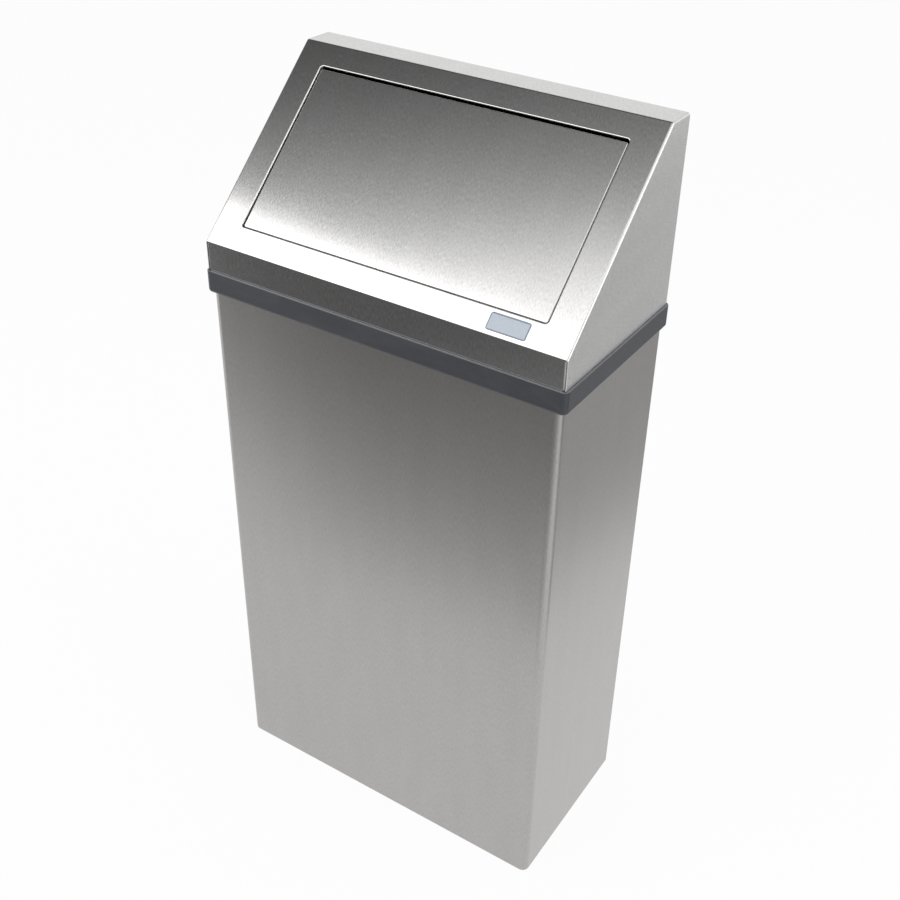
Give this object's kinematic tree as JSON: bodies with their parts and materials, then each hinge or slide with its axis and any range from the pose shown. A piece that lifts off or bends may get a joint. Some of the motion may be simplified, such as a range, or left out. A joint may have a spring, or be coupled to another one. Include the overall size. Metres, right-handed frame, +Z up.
{
  "type": "wall-mounted waste bin",
  "caption": "Tall narrow sheet-steel wall bin with a lift-off sloping hood, an inward push flap and a dark moulded collar.",
  "frame": {"origin": "centre of the base at floor level, midway between the front and the wall plane", "axes": "+X to the viewer's right, +Y towards the wall, +Z up"},
  "size_m": [0.405, 0.205, 0.819],
  "materials": {
    "brushed_steel_body": "brushed, satin, grain along the height",
    "brushed_steel_hood": "brushed, satin",
    "brushed_steel_flap": "brushed, satin",
    "galvanised_rail": "plain zinc",
    "bracket_steel": "plain zinc",
    "rod_steel": "drawn bar",
    "spring_steel": "dark spring wire",
    "rivet_steel": "satin",
    "collar_plastic": "fine satin moulding, slate grey",
    "spacer_rubber": "matt",
    "nylon": "natural nylon",
    "label_plastic": "plain blank label"
  },
  "bodies": {
    "bin": {"body_wrap": "brushed_steel_body", "body_back": "brushed_steel_body", "floor_pan": "brushed_steel_body", "upper_rail": "galvanised_rail", "lower_rail": "galvanised_rail", "wall_spacers": "spacer_rubber", "body_rivets": "rivet_steel", "rail_rivets": "rivet_steel", "rim_collar": "collar_plastic"},
    "hood": {"hood_shell": "brushed_steel_hood", "hood_back": "brushed_steel_hood", "hood_rivets": "rivet_steel", "hinge_bracket_left": "bracket_steel", "hinge_bracket_right": "bracket_steel", "hinge_bush_left": "nylon", "hinge_bush_right": "nylon", "flap_spring_left": "spring_steel", "flap_spring_right": "spring_steel", "blank_label": "label_plastic"},
    "flap": {"flap_panel": "brushed_steel_flap", "flap_stiffener": "galvanised_rail", "flap_bumpers": "spacer_rubber", "hinge_rod": "rod_steel", "rod_clips": "spring_steel"}
  },
  "joints": [
    {"name": "hood_lift", "type": "slide", "parent": "bin", "child": "hood", "axis": [0, 0, 1], "range_m": [0, 0.25]},
    {"name": "flap_swing", "type": "hinge", "parent": "hood", "child": "flap", "pos_m": [0, 0.04963, 0.78769], "axis": [1, 0, 0], "range_deg": [0, 55], "stiffness_Nm_per_rad": 0.6, "springref_deg": -68.75, "deforming": ["flap_spring_left", "flap_spring_right"]}
  ]
}
